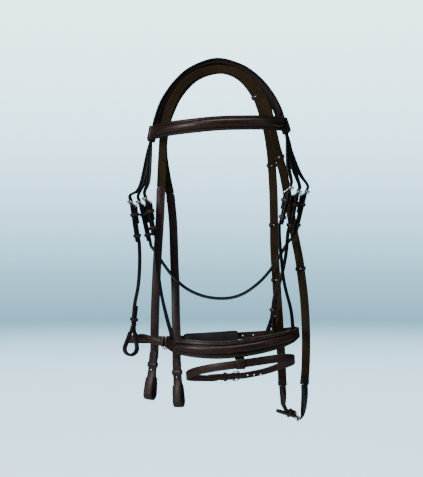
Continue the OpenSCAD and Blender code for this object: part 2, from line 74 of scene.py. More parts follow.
# ---- shader nodes
def put(sockets, values):
    """Links or sets a node's inputs from {socket: output, number, colour or vector}."""
    for key, value in values.items():
        socket = sockets[key]
        if isinstance(value, bpy.types.NodeSocket):
            socket.id_data.links.new(value, socket)
        elif socket.type == "RGBA":
            socket.default_value = (*value, 1)
        else:
            socket.default_value = value


def node(tree, kind, inputs, **settings):
    made = tree.nodes.new("ShaderNode" + kind)
    for key, value in settings.items():
        setattr(made, key, value)
    put(made.inputs, inputs)
    return made.outputs


def material(name):
    """A material, its node tree, its shader's inputs and the texture place on the object."""
    mat = bpy.data.materials.new(name)
    mat.use_nodes = True
    tree = mat.node_tree
    return mat, tree, tree.nodes["Principled BSDF"].inputs, node(tree, "TexCoord", {})["Object"]


def noise(tree, place, scale, detail, rough=0.5):
    inputs = {"Vector": place, "Scale": scale, "Detail": detail, "Roughness": rough}
    return node(tree, "TexNoise", inputs)[0]


def sums(tree, how, a, b):
    return node(tree, "Math", {0: a, 1: b}, operation=how)[0]


def blended(tree, a, share_a, b, share_b):
    return sums(tree, "ADD", sums(tree, "MULTIPLY", a, share_a), sums(tree, "MULTIPLY", b, share_b))


def spread(tree, value, low, high, start=0.0, end=1.0, **settings):
    """Stretches a value's range from start and end to low and high."""
    inputs = {"Value": value, "From Min": start, "From Max": end, "To Min": low, "To Max": high}
    return node(tree, "MapRange", inputs, **settings)["Result"]


def ramp(tree, value, stops):
    made = tree.nodes.new("ShaderNodeValToRGB")
    while len(made.color_ramp.elements) < len(stops):
        made.color_ramp.elements.new(0.5)
    for e, (at, col) in zip(made.color_ramp.elements, stops):
        e.position = at
        e.color = (*col, 1)
    put(made.inputs, {0: value})
    return made.outputs[0]


def bump(tree, height, strength, depth, normal=None):
    inputs = {"Height": height, "Strength": strength, "Distance": depth}
    if normal is not None:
        inputs["Normal"] = normal
    return node(tree, "Bump", inputs)[0]


def camera_sees(tree):
    return node(tree, "LightPath", {})["Is Camera Ray"]


def make_camera():
    data = bpy.data.cameras.new("camera")
    data.lens = LENS
    data.sensor_width = SENSOR
    data.clip_end = 60
    cam = add("camera", data)
    c, s = math.cos(HANG), math.sin(HANG)
    x, y, z = EYE
    cam.matrix_world = Matrix(((c, s, 0, x), (0, 0, -1, y), (-s, c, 0, z), (0, 0, 0, 1)))
    scene.camera = cam


def make_light():
    for name, (place, aim, size, power, tint) in LAMPS.items():
        data = bpy.data.lights.new(name, "AREA")
        data.shape = "RECTANGLE"
        data.size, data.size_y = size
        data.energy = power
        data.color = tint
        lamp = add(name, data)
        lamp.location = place
        lamp.rotation_euler = (Vector(aim) - Vector(place)).to_track_quat("-Z", "Y").to_euler()
    world = bpy.data.worlds.new("studio")
    world.use_nodes = True
    scene.world = world
    tree = world.node_tree
    toward = node(tree, "TexCoord", {})["Generated"]
    up = (math.sin(HANG), 0, math.cos(HANG))
    height = node(tree, "VectorMath", {0: toward, 1: up}, operation="DOT_PRODUCT")["Value"]
    colour = ramp(tree, spread(tree, height, 0, 1, *BACKDROP_SPAN), BACKDROP)
    strength = spread(tree, camera_sees(tree), WORLD_LIGHT, WORLD_SEEN)
    put(tree.nodes["Background"].inputs, {0: colour, 1: strength})


def make_floor():
    """A pale floor that fades into the backdrop."""
    bm = bmesh.new()
    bmesh.ops.create_circle(bm, cap_ends=True, segments=96, radius=FLOOR_RADIUS)
    mesh = bpy.data.meshes.new("floor")
    bm.to_mesh(mesh)
    bm.free()
    floor = add("floor", mesh)
    floor.location = (0, 0, FLOOR_LEVEL)
    floor.rotation_euler = (0, HANG, 0)
    mat, tree, shader, place = material("floor")
    reach = node(tree, "VectorMath", {0: place}, operation="LENGTH")["Value"]
    put(shader, {
        "Base Color": (0.62, 0.67, 0.70), "Roughness": 0.7, "Emission Color": (0.52, 0.84, 1.0),
        "Emission Strength": spread(tree, camera_sees(tree), 0, FLOOR_SEEN),
        "Alpha": spread(tree, reach, 1, 0, *FLOOR_FADE, interpolation_type="SMOOTHERSTEP")})
    floor.data.materials.append(mat)


# ---- materials
def leather(name, deep, mid, light, rim, rough=(0.30, 0.48), grain=0.35, coat=0.08, pebble=900):
    """Dyed leather: mottled colour, burnished rims, pebbled grain, lengthwise fibre and worn sheen."""
    mat, tree, shader, place = material(name)
    uv = node(tree, "UVMap", {})[0]
    stretch = node(tree, "VectorMath", {0: uv, 1: (18, 620, 1)}, operation="MULTIPLY")[0]
    broad = noise(tree, place, 14, 5, 0.6)
    fine = noise(tree, place, 170, 4, 0.65)
    fibre = noise(tree, stretch, 1, 3)
    cells = node(tree, "TexVoronoi", {"Vector": place, "Scale": pebble})[0]
    dyed = ramp(tree, blended(tree, broad, 0.65, fine, 0.35), [(0.34, deep), (0.5, mid), (0.68, light)])
    edge = node(tree, "Attribute", {}, attribute_name="edge")["Fac"]
    worn = sums(tree, "MULTIPLY", edge, sums(tree, "ADD", fine, 0.35))
    relief = bump(tree, cells, grain, 0.00025)
    relief = bump(tree, fibre, grain * 0.8, 0.0002, relief)
    put(shader, {
        "Base Color": node(tree, "Mix", {0: worn, 6: dyed, 7: rim}, data_type="RGBA")[2],
        "Roughness": spread(tree, blended(tree, fine, 0.6, fibre, 0.4), *rough),
        "Normal": bump(tree, fine, grain * 0.5, 0.0004, relief),
        "Specular IOR Level": 0.28, "Coat Weight": coat, "Coat Roughness": 0.28})
    return mat


def web_cloth(name):
    """Cotton web: ribs along it, a fine weave across them and a dull two-tone colour."""
    mat, tree, shader, place = material(name)
    split = node(tree, "SeparateXYZ", {0: node(tree, "UVMap", {})[0]})
    across, along = (sums(tree, "SINE", sums(tree, "MULTIPLY", split[axis], 2 * math.pi / pitch), 0.0)
                     for axis, pitch in (("Y", 0.0020), ("X", 0.0012)))
    height = blended(tree, across, 0.5, sums(tree, "MULTIPLY", across, along), 0.5)
    shade = sums(tree, "ADD", sums(tree, "MULTIPLY", height, 0.2), 0.5)
    tone = blended(tree, shade, 0.6, noise(tree, place, 40, 5, 0.6), 0.4)
    relief = bump(tree, height, 0.6, 0.0003)
    put(shader, {
        "Base Color": ramp(tree, tone, [(0.3, (0.012, 0.0064, 0.0018)), (0.5, (0.033, 0.0188, 0.0058)),
                                        (0.72, (0.062, 0.0375, 0.0130))]),
        "Normal": bump(tree, noise(tree, place, 1500, 2), 0.3, 0.0002, relief),
        "Roughness": 0.82, "Sheen Weight": 0.06, "Specular IOR Level": 0.2})
    return mat


def polished_steel(name):
    mat, tree, shader, place = material(name)
    haze = noise(tree, place, 220, 4, 0.7)
    put(shader, {
        "Base Color": ramp(tree, haze, [(0.35, (0.42, 0.41, 0.39)), (0.6, (0.66, 0.65, 0.63))]),
        "Roughness": spread(tree, haze, 0.12, 0.36), "Metallic": 1,
        "Normal": bump(tree, noise(tree, place, 2400, 2), 0.12, 0.0001)})
    return mat


def thread(name):
    mat, tree, shader, place = material(name)
    twist = node(tree, "TexWave", {"Vector": place, "Scale": 900, "Distortion": 1.5})[0]
    blot = noise(tree, place, 300, 3)
    put(shader, {
        "Base Color": ramp(tree, blot, [(0.3, (0.035, 0.024, 0.020)), (0.7, (0.10, 0.075, 0.062))]),
        "Normal": bump(tree, twist, 0.4, 0.0001), "Roughness": 0.6})
    return mat


BLACK = leather("leather_black", (0.0018, 0.0015, 0.0014), (0.0040, 0.0032, 0.0030), (0.009, 0.0072, 0.0068),
                (0.0012, 0.0010, 0.0009), rough=(0.26, 0.44), coat=0.12)
BROWN = leather("leather_brown", (0.010, 0.0040, 0.0028), (0.023, 0.0092, 0.0064), (0.046, 0.0200, 0.0145),
                (0.005, 0.0021, 0.0015), rough=(0.26, 0.44))
KEEP = leather("leather_keeper", (0.015, 0.0058, 0.0040), (0.032, 0.0128, 0.0090), (0.060, 0.0260, 0.0190),
               (0.008, 0.0032, 0.0022), rough=(0.34, 0.54))
REIN = leather("leather_rein", (0.014, 0.0078, 0.0058), (0.030, 0.0165, 0.0128), (0.054, 0.0310, 0.0250),
               (0.007, 0.0040, 0.0030), rough=(0.34, 0.52), coat=0.05)
MAROON = leather("leather_piping", (0.006, 0.001, 0.0006), (0.014, 0.0020, 0.0013), (0.030, 0.0055, 0.0035),
                 (0.008, 0.0015, 0.001), rough=(0.4, 0.55), coat=0.04)
PAD = leather("leather_pebbled", (0.006, 0.006, 0.0062), (0.013, 0.013, 0.0135), (0.026, 0.026, 0.027),
              (0.004, 0.004, 0.004), rough=(0.52, 0.7), grain=0.9, coat=0.0, pebble=520)
WEB = web_cloth("web_cotton")
STEEL = polished_steel("buckle_steel")
THREAD = thread("thread")
SLOTS = {mat.name: "brown_leather" for mat in (BROWN, KEEP, REIN, MAROON, THREAD)}
SLOTS |= {BLACK.name: "dark_leather", PAD.name: "pad", WEB.name: "web", STEEL.name: "steel"}


# ---- paths: a sample is (point in metres, width direction, width scale)
NEAREST = 0.00015


def at_mm(x, y, z):
    """A vector from lengths in millimetres."""
    return Vector((x, y, z)) * MM


def square_to(axis, v):
    """A unit vector along the part of v that is square to an axis."""
    return (v - axis * v.dot(axis)).normalized()


def arc(x, y, r, start, step, count):
    """Points round a centre: the first is at start degrees and the others step degrees apart."""
    turns = [math.radians(start + step * k) for k in range(count)]
    return [(x + r * math.cos(u), y + r * math.sin(u)) for u in turns]


def round_corners(low, high, half, r):
    """A box's corners as four arcs; the box runs from low to high and half to both sides of that."""
    centres = ((high - r, half - r), (low + r, half - r), (low + r, r - half), (high - r, r - half))
    return [arc(x, y, r, 90 * k, 30, 4) for k, (x, y) in enumerate(centres)]


def catmull(a, b, c, d, u):
    square, cube = 2 * a - 5 * b + 4 * c - d, 3 * b - a - 3 * c + d
    return 0.5 * (2 * b + (c - a) * u + square * u * u + cube * u ** 3)


def smooth(rows, n):
    """A smooth curve through rows of numbers, with n steps from each row to the next."""
    out = []
    for i in range(len(rows) - 1):
        near = [rows[max(0, min(len(rows) - 1, i + k))] for k in (-1, 0, 1, 2)]
        for k in range(n):
            out.append([catmull(*v, k / n) for v in zip(*near)])
    return out + [list(rows[-1])]


def route(rows, n=5, short=0):
    """A strap's samples from rows of x, y, z in millimetres, fan and lean in degrees, and width scale.

    A row may leave out its width scale, 1. Short is how many rows are left out at each end.
    """
    full = smooth([(*r, 1) if len(r) < 6 else r for r in rows], n)
    full = full[n * short:len(full) - n * short]
    out = []
    for x, y, z, fan, lean, scale in full:
        fan, lean = math.radians(fan), math.radians(lean)
        wide = Vector((math.sin(fan) * math.sin(lean), -math.cos(lean), math.cos(fan) * math.sin(lean)))
        out.append((at_mm(x, y, z), wide, scale))
    return out


def turned(rows, fan=0, lean=90):
    """Puts a fan and a lean after the x, y and z of each row."""
    return [(*row[:3], fan, lean, *row[3:]) for row in rows]


def straight(points, wide, n):
    """Samples through points in millimetres, with one width direction."""
    return [(at_mm(*p), Vector(wide), 1.0) for p in smooth(points, n)]


class Path:
    """A strap's middle line, with its directions along, across and outward at each point."""

    def __init__(self, samples, closed=False):
        kept = [samples[0]]
        for s in samples[1:]:
            if (s[0] - kept[-1][0]).length > NEAREST:
                kept.append(s)
        if closed and (kept[0][0] - kept[-1][0]).length < NEAREST:
            kept.pop()
        self.closed = closed
        self.points, self.wide, self.scales = map(list, zip(*kept))
        self.measure()

    def measure(self):
        n = len(self.points)
        self.along, self.across, self.outward, self.run = [], [], [], [0.0]
        for i in range(n):
            before = self.points[i - 1] if i or self.closed else self.points[i]
            after = self.points[(i + 1) % n] if i < n - 1 or self.closed else self.points[i]
            t = (after - before).normalized()
            a = square_to(t, self.wide[i])
            self.along.append(t)
            self.across.append(a)
            self.outward.append(t.cross(a))
            if i:
                self.run.append(self.run[-1] + (self.points[i] - self.points[i - 1]).length)
        self.length = self.run[-1]

    def at(self, d):
        """The point, the three directions and the width scale at a distance in metres."""
        d = max(0.0, min(self.length, d))
        i = 0
        while i < len(self.run) - 2 and self.run[i + 1] < d:
            i += 1
        u = (d - self.run[i]) / max(1e-9, self.run[i + 1] - self.run[i])
        blend = [x[i].lerp(x[i + 1], u) for x in (self.points, self.along, self.across, self.outward)]
        return (*blend, self.scales[i] + (self.scales[i + 1] - self.scales[i]) * u)

    def part(self, start, long, n):
        """Evenly spaced samples, n + 1 of them, over a length in metres."""
        cuts = [self.at(start + long * k / n) for k in range(n + 1)]
        return [(p, a, s) for p, _, a, _, s in cuts]

    def tipped(self, tip, blunt=0.45, both=False):
        """The same path with its end drawn in to a rounded tip, or both of its ends."""
        tip = tip * MM
        marks = [k / 8 for k in range(8, 0, -1)] + [0.04, 0.0]
        dists = [d for d in self.run if (not both or d > tip) and d < self.length - tip]
        ends = [(self.length - tip * m, m) for m in marks]
        starts = [(tip * m, m) for m in reversed(marks)] if both else []
        samples = []
        for d, m in starts + [(d, 1.0) for d in dists] + ends:
            p, _, a, _, s = self.at(d)
            samples.append((p, a, s * (blunt + (1 - blunt) * math.sqrt(max(0.0, 1 - (1 - m) ** 2.2)))))
        return Path(samples)


def resample(samples, step=2.4):
    """Evens out given samples along a smooth line, step millimetres apart."""
    rough = Path(samples)
    rows = [(*p, *w, s) for p, w, s in zip(rough.points, rough.wide, rough.scales)]
    dense = Path([(Vector(r[:3]), Vector(r[3:6]), r[6]) for r in smooth(rows, 4)])
    return dense.part(0, dense.length, max(2, round(rough.length / MM / step)))


# ---- cross-sections: points round the strap, in millimetres, as (across, outward, how near the rim)
WEB_RIBS = 7


def with_rims(loop, h, start):
    """Adds how near each point is to the rim, from 0 at a share of the half width to 1 at its edge."""
    return [(y, z, max(0.0, min(1.0, (abs(y) / h - start) / (1 - start)))) for y, z in loop]


def flat_section(w, t, crease=1.7):
    """A strap with eased edges, and a creased line that far in from each edge if it is wide enough."""
    h, top, b = w / 2, t / 2, min(0.40 * t, 1.1)
    corner = [(h - b, top), (h - 0.35 * b, top - 0.25 * b), (h, top - b)]
    groove = []
    if crease and h > crease + 1.4:
        groove = [(h - crease + 0.5, top), (h - crease, top - 0.32), (h - crease - 0.5, top)]
    half = [(y, -z) for y, z in corner] + corner[::-1] + groove
    over = half + [(0, top)] + [(-y, z) for y, z in reversed(half)]
    under = [(y, -z) for y, z in reversed(groove)]
    back = [(-y, z) for y, z in reversed(under)] + [(0, -top)] + under
    return with_rims(over + back, h, 0.80)


def crowned_section(w, t, steps=9):
    """A pad: flat underneath, raised in the middle and pinched down along its seams."""
    h = w / 2
    loop = [(h, -t / 2)]
    for k in range(steps + 1):
        y = h * math.cos(math.pi * k / steps)
        lift = 0.10 + 0.90 * (1 - abs(y / h) ** 2.6) ** 0.75
        loop.append((y, -t / 2 + t * lift))
    return with_rims(loop + [(-h, -t / 2), (0, -t / 2)], h, 0.86)


def ribbed_section(w, t):
    """A woven web with ribs along it."""
    h, b = w / 2, 0.45 * t
    n = WEB_RIBS * 4
    ys = [(h - b) * (1 - 2 * k / n) for k in range(n + 1)]
    top = [(y, t / 2 + 0.14 * math.cos(2 * math.pi * WEB_RIBS * (y + h) / w)) for y in ys]
    loop = [(h, -0.1), (h, 0.1)] + top + [(-h, 0.1), (-h, -0.1)] + [(y, -z) for y, z in reversed(top)]
    return with_rims(loop, h, 0.86)


STITCH_PITCH, STITCH_LONG, THREAD_RADIUS = 4.4, 3.0, 0.34


class Piece:
    """Gathers meshes into one object."""

    def __init__(self):
        self.verts, self.faces, self.uvs, self.rims = [], [], [], []

    def point(self, place, rim=0.0):
        self.verts.append(place)
        self.rims.append(rim)

    def face(self, corners, uvs):
        self.faces.append(corners)
        self.uvs.append(uvs)

    def skin(self, first, n, m, closed, patch, cap):
        """Faces over n rings of m points; patch and cap give the texture places of sides and ends."""
        for i in range(n if closed else n - 1):
            j = (i + 1) % n
            for k in range(m):
                q = (k + 1) % m
                corners = [first + i * m + k, first + j * m + k, first + j * m + q, first + i * m + q]
                self.face(corners, patch(i, k))
        if not closed:
            for i, turn in ((0, 1), (n - 1, -1)):
                self.face([first + i * m + k for k in range(m)][::turn], cap(i)[::turn])

    def sweep(self, path, section, off=0.0):
        """Draws a cross-section along a path, off millimetres to one side of it."""
        first, m, n = len(self.verts), len(section), len(path.points)
        girth = [0.0]
        for k in range(m):
            (y0, z0, _), (y1, z1, _) = section[k], section[(k + 1) % m]
            girth.append(girth[-1] + math.hypot(y1 - y0, z1 - z0) * MM)
        for i in range(n):
            wide, out = path.across[i], path.outward[i]
            for y, z, rim in section:
                self.point(path.points[i] + (wide * (y * path.scales[i]) + out * (z + off)) * MM, rim)
        run = path.run + [path.run[-1] + 0.002]

        def patch(i, k):
            near, far, low, high = run[i], run[i + 1], girth[k], girth[k + 1]
            return [(near, low), (far, low), (far, high), (near, high)]

        self.skin(first, n, m, path.closed, patch, lambda i: [(run[i], girth[k]) for k in range(m)])
        return self

    def tube(self, points, radius, closed=False, seg=10, up=(0, 1, 0)):
        """A round bar through points in metres; radius in millimetres is one number or one a point."""
        radii = radius if isinstance(radius, (list, tuple)) else [radius] * len(points)
        path = Path([(Vector(p), Vector(up), r) for p, r in zip(points, radii)], closed)
        first, n = len(self.verts), len(path.points)
        for i in range(n):
            r = path.scales[i] * MM
            for y, z in arc(0, 0, 1, 0, 360 / seg, seg):
                self.point(path.points[i] + path.across[i] * (y * r) + path.outward[i] * (z * r))
        self.skin(first, n, seg, closed, lambda i, k: [(i * MM, k * MM)] * 4, lambda i: [(0, 0)] * seg)
        return self

    def lathe(self, matrix, outline, seg=20):
        """Turns an outline of (radius, height) in millimetres round a matrix's X axis."""
        first = len(self.verts)
        for r, h in outline:
            for y, z in arc(0, 0, r, 0, 360 / seg, seg):
                self.point(matrix @ at_mm(h, y, z))
        for i in range(len(outline) - 1):
            low, high = first + i * seg, first + (i + 1) * seg
            for k in range(seg):
                q = (k + 1) % seg
                self.face([low + k, low + q, high + q, high + k], [(0, 0)] * 4)
        last = first + (len(outline) - 1) * seg
        self.face([first + k for k in range(seg)][::-1], [(0, 0)] * seg)
        self.face([last + k for k in range(seg)], [(0, 0)] * seg)
        return self

    def stitch(self, path, offsets, start, end, lift):
        """Rows of thread along a path, from start to end in millimetres."""
        for off in offsets:
            d = start
            while d < end:
                spots = [path.at((d + k * STITCH_LONG / 2) * MM) for k in (-1, 0, 1)]
                line = [p + (a * off * s + f * lift) * MM for p, _, a, f, s in spots]
                over = (line[2] - line[0]) * 0.08
                self.tube([line[0] - over, *line, line[2] + over],
                          [THREAD_RADIUS * k for k in (0.4, 0.9, 1, 0.9, 0.4)], seg=6, up=spots[1][3])
                d += STITCH_PITCH
        return self

    def mesh(self, name):
        mesh = bpy.data.meshes.new(name)
        mesh.from_pydata([tuple(v) for v in self.verts], [], self.faces)
        return mesh

    def build(self, name, mat, body, replaces=None, sharp=38, holes=()):
        """Makes the object. It stands for the CAD nodes given, or else for the one of its own name."""
        mesh = self.mesh(name)
        layer = mesh.uv_layers.new(name="along")
        layer.data.foreach_set("uv", [number for uvs in self.uvs for uv in uvs for number in uv])
        rim = mesh.attributes.new("edge", "FLOAT", "POINT")
        rim.data.foreach_set("value", self.rims)
        fixed = bmesh.new()
        fixed.from_mesh(mesh)
        bmesh.ops.recalc_face_normals(fixed, faces=fixed.faces)
        fixed.to_mesh(mesh)
        fixed.free()
        mesh.polygons.foreach_set("use_smooth", [True] * len(mesh.polygons))
        mesh.set_sharp_from_angle(angle=math.radians(sharp))
        mesh.materials.append(mat)
        obj = add(name, mesh)
        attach(obj, body)
        if replaces is None:
            replaces = [name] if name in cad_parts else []
        if replaces:
            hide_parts(*replaces)
        if holes:
            punch(obj, holes)
        return obj


def punch(obj, holes):
    """Cuts round holes: each is (centre, axis, radius in mm)."""
    cut = Piece()
    for centre, axis, r in holes:
        z = Vector(axis).normalized()
        side = Vector(UPRIGHT if abs(z.z) < 0.7 else (0, 1, 0))
        y = z.cross(side).normalized()
        matrix = Matrix((z, y, z.cross(y))).transposed().to_4x4()
        matrix.translation = centre
        cut.lathe(matrix, [(r, -4), (r, 4)], seg=14)
    tool = add("punch", cut.mesh("punch"))
    mod = obj.modifiers.new("punch", "BOOLEAN")
    mod.operation = "DIFFERENCE"
    mod.solver = "EXACT"
    mod.object = tool
    deps = bpy.context.evaluated_depsgraph_get()
    cut_obj = obj.evaluated_get(deps)
    done = bpy.data.meshes.new_from_object(cut_obj, preserve_all_data_layers=True, depsgraph=deps)
    obj.modifiers.clear()
    obj.data = done
    bpy.data.objects.remove(tool)


# ---- stations: where a billet meets its buckle. X points out of the billet, Y across it and Z up it.
LAYER = 3.0
BAR_IN = 5.0
TWIST = 25
SIN_TWIST, COS_TWIST = math.sin(math.radians(TWIST)), math.cos(math.radians(TWIST))
SIGN = {"left": -1, "right": 1}
CHEEK_W, THROAT_W, HANGER_W, CHIN_W, FLASH_W, REIN_W, BIGHT_W = 14, 11, 12, 14, 12, 16, 13
# How deep a loop goes behind a billet's middle, round a doubled strap or a single one.
DOUBLED, SINGLE = BAR_IN + LAYER, BAR_IN
# Heights over a buckle's bar: of the hole that the tongue is in and of a billet's spare holes.
PINNED = 3.6
SPARE = (-26, -40)


class Station:
    def __init__(self, point, out, up, w):
        self.z = Vector(up).normalized()
        self.x = square_to(self.z, Vector(out))
        self.y = self.z.cross(self.x)
        self.w = w
        self.matrix = Matrix((self.x, self.y, self.z)).transposed().to_4x4()
        self.matrix.translation = at_mm(*point)

    def spot(self, x, z, y=0.0):
        return self.matrix @ at_mm(x, y, z)

    def row(self, x, z, fan, lean):
        p = self.spot(x, z) / MM
        return (p.x, p.y, p.z, fan, lean, 1)


def side_station(s, x, y, z, tilt, w):
    t = math.radians(tilt)
    out = (s * math.cos(t) * COS_TWIST, -SIN_TWIST, -math.sin(t) * COS_TWIST)
    return Station((x, y, z), out, (s * math.sin(t), 0, math.cos(t)), w)


def bit_station(s, x, y, z, lean, w):
    return Station((x, y, z), (-s * COS_TWIST, SIN_TWIST, 0), (lean, 0, 0.985), w)


def faced(rows, s, more=0):
    """Rows of a hanging side strap, turned so that its outer face shows a little from in front."""
    return [(x, y, z, -90 * s, TWIST + more if z < -120 else 0) for x, y, z in rows]


def fore(s):
    """The width direction of a side strap that is turned by TWIST."""
    return (-s * SIN_TWIST, -COS_TWIST, 0)


CHEEK = {"left": side_station(-1, -172, 0, -236, 5, CHEEK_W),
         "right": side_station(1, 134, 0, -236, 15, CHEEK_W)}
THROAT_AT = {"left": side_station(-1, -157, 18, -236, 9, THROAT_W),
             "right": side_station(1, 150, 18, -236, 17, THROAT_W)}
HANGER = {"left": side_station(-1, -143, -18, -232, 8, HANGER_W),
          "right": side_station(1, 118, -18, -228, 16, HANGER_W)}
CHIN = Station((-20, 46, -490), (0, 1, 0), (1, 0, 0), CHIN_W)
FLASH = Station((-4, 12, -561), (0, 1, 0), (1, 0, 0), FLASH_W)
BIGHT = Station((104, 20, -643), (-0.31, -0.52, -0.80), (0.93, 0, -0.36), BIGHT_W)
# Where a strap's end is folded round a bit ring that isn't there.
BIT = {"left": bit_station(-1, -190, 0, -497, 0.17, CHEEK_W),
       "right": bit_station(1, 68, 0, -495, 0.18, CHEEK_W)}
BIT_RADIUS = {"left": 9.5, "right": 8}
REIN_BIT = {"near": Station((-160, 8, -583), (-0.42, -0.91, 0), (0.15, 0, 0.985), REIN_W),
            "off": Station((-108, 20, -602), (-0.3, -0.95, 0), UPRIGHT, REIN_W)}
REIN_BIT_RADIUS = 7


def past_buckle(st, fan, lean, tail):
    """A billet's rows from above its buckle's bar to a tip that is tail millimetres below it."""
    return [st.row(0, z, fan, lean) for z in (22, 9, -20, -tail)]


def below_fold(st, last, s):
    """A side strap's rows behind its billet, from its fold's stitched end down to a last height."""
    return [st.row(LAYER / 2 - BAR_IN, z, -90 * s, TWIST) for z in (-30, -44, last + 8, last)]


def fold_samples(st, wide, deep=32):
    """The strap from its stitched end, up round the bar and down again."""
    lay, turn = 1.45, 2.6
    pts = [(-lay, -deep), (-lay, -22), (-lay, -14), (-2.2, -7)]
    pts += arc(0, 0, turn, 180, -22.5, 9)
    pts += [(2.2, -7), (lay, -14)]
    return [(st.spot(x - BAR_IN, z), Vector(wide), 1.0) for x, z in pts]


def bit_samples(st, r, wide, up=60, billet=80):
    """Down one leg, round a bit ring's place and up the other leg, in a station's XZ plane."""
    lay = 1.6
    pts = [(-lay, up), (-lay, 50), (-lay, 40), (-3.6, 30), (-6.8, 17)]
    pts += arc(0, 0, r + 1.7, 165, 15, 15)
    pts += [(6.8, 17), (3.6, 30), (lay, 40), (lay, 50), (lay, 66), (lay, billet)]
    return [(st.spot(x, z), Vector(wide), 1.0) for x, z in pts]


# ---- buckles, studs, loops and billets
def leaning(degrees):
    """The directions up and out of a part that leans out from its strap."""
    s, c = math.sin(math.radians(degrees)), math.cos(math.radians(degrees))
    return Vector((s, 0, c)), Vector((c, 0, -s))


def buckle_piece(name, body, stations):
    """A buckle's frame and bar, rounded, leaning out from its strap."""
    piece = Piece()
    up, out = leaning(40)
    corner, top = 3.0, 14.3

    def bar(st, line, radius):
        face = st.matrix.to_3x3() @ out
        points = [st.spot(up.x * high - BAR_IN, up.z * high, y) for y, high in line]
        piece.tube(points, radius, seg=12, up=face)

    for st in stations:
        half = (st.w + 1.6) / 2 + 1.1
        line = [(-half, -1.0), (-half, 4), (-half, 9)]
        line += arc(corner - half, top - corner, corner, 180, -18, 6)
        line += [(0, top + 0.3)] + [(-y, high) for y, high in reversed(line)]
        bar(st, line, [1.0 + 0.5 * max(0.0, min(1.0, (high - 9) / 5)) for _, high in line])
        bar(st, [(y, 0) for y in (-half - 0.6, -half / 2, 0, half / 2, half + 0.6)], 1.15)
        for s in (-1, 1):
            bar(st, [(s * (half + more), 0) for more in (-1.2, 0, 1.0)], [1.4, 1.7, 1.2])
    piece.build(name, STEEL, body, sharp=50)


def tongue_piece(name, st):
    """A buckle's tongue, with its eye round the bar, on the moving body of the same name."""
    piece = Piece()
    up, out = leaning(50)
    eye = [st.spot(x - BAR_IN, z) for x, z in arc(0, 0, 1.75, 0, 22.5, 16)]
    piece.tube(eye, 0.62, closed=True, seg=8, up=st.y)
    line = [(1.5, 0.1), (4, 0.2), (8, 0.35), (12, 0.35), (15, 0.1), (17.0, -0.25), (17.6, -0.4)]
    line = [up * high + out * bend for high, bend in line]
    piece.tube([st.spot(p.x - BAR_IN, p.z) for p in line], [1.15, 1.1, 1.05, 1.0, 0.95, 0.8, 0.3],
               seg=10, up=st.y)
    piece.build(name, STEEL, name, sharp=50)


def stud_piece(name, body, st):
    """A hook stud through a folded strap, above its bit ring's place."""
    outline = [(0.3, -5.4), (1.8, -5.3), (2.8, -4.8), (3.0, -4.2), (2.6, -3.8), (1.2, -3.6), (1.1, 3.4),
               (1.4, 3.9), (1.8, 4.5), (1.7, 5.2), (1.1, 5.7), (0.3, 5.9)]
    place = st.matrix @ Matrix.Translation((0, 0, 0.044))
    Piece().lathe(place, outline).build(name, STEEL, body, sharp=60)


def loop_of(piece, matrix, half, inner, outer, z, high=6.0, thick=1.7, r=1.3):
    """A leather loop round a strap, in a matrix's XY plane: x runs from inner to outer."""
    middle = (inner + outer) / 2
    sides = ((middle, half), (inner, 0), (middle, -half), (outer, 0))
    pts = [q for corner, side in zip(round_corners(inner, outer, half, r), sides) for q in (*corner, side)]
    axis = matrix.to_3x3() @ Vector(UPRIGHT)
    path = Path([(matrix @ at_mm(x, y, z), axis, 1.0) for x, y in pts], closed=True)
    return piece.sweep(path, flat_section(high, thick, crease=1.1))


def strap_loop(piece, st, depth=DOUBLED, z=-18, high=6.0):
    """A keeper: depth is how far the strap's layers reach behind the billet's middle."""
    gap = 1.2
    inner, outer = -depth - gap, LAYER / 2 + gap
    return loop_of(piece, st.matrix, st.w / 2 + gap, inner, outer, z + high / 2, high)


def pin_holes(st, spare=()):
    """The hole that the tongue is in, and the smaller spare ones."""
    return [(st.spot(0, PINNED), st.x, 1.5)] + [(st.spot(0, z), st.x, 1.1) for z in spare]


def fold_hole(st, x=-2):
    """The hole that lets a tongue out of the fold round its bar."""
    return (st.spot(x, 3.2), st.x + st.z, 1.7)


def fold_stitches(piece, path, w, start, end, both=True):
    """Two rows of thread near a strap's edges, on both of its faces or on the outer one only."""
    off, lift = w / 2 - 2.0, 1.3
    for face in (1, -1) if both else (1,):
        piece.stitch(path, (-off, off), start, end, lift * face)
    return piece


def billet_piece(name, body, parts):
    """Billets: each part is (start points, station, side sign, tail)."""
    piece = Piece()
    holes = []
    for start, st, s, tail in parts:
        path = Path(route(faced(start, s, 15) + past_buckle(st, -90 * s, TWIST, tail))).tipped(9)
        piece.sweep(path, flat_section(st.w, LAYER))
        holes += pin_holes(st, SPARE)
    piece.build(name, BLACK, body, holes=holes)


# ---- headpiece and browband
HEAD = turned([(-128, 0, -100, 0.92), (-120, 0, -74), (-106, 0, -43), (-81, 0, -11), (-48, 0, 14),
               (0, 0, 27), (46, 0, 13), (78, 0, -12), (101, 0, -43), (115, 0, -74),
               (121, 0, -100, 0.92)], 0, 0)
BROW = turned([(-123, -26.5, -104), (-113, -50, -104), (-90, -73, -103), (-50, -89, -102),
               (-4, -94, -101), (42, -89, -102), (82, -74, -103), (108, -50, -104), (117, -26.5, -104)])
BROW_ENDS = (-126, 119)
HEAD_W, BROW_H = 44, 26


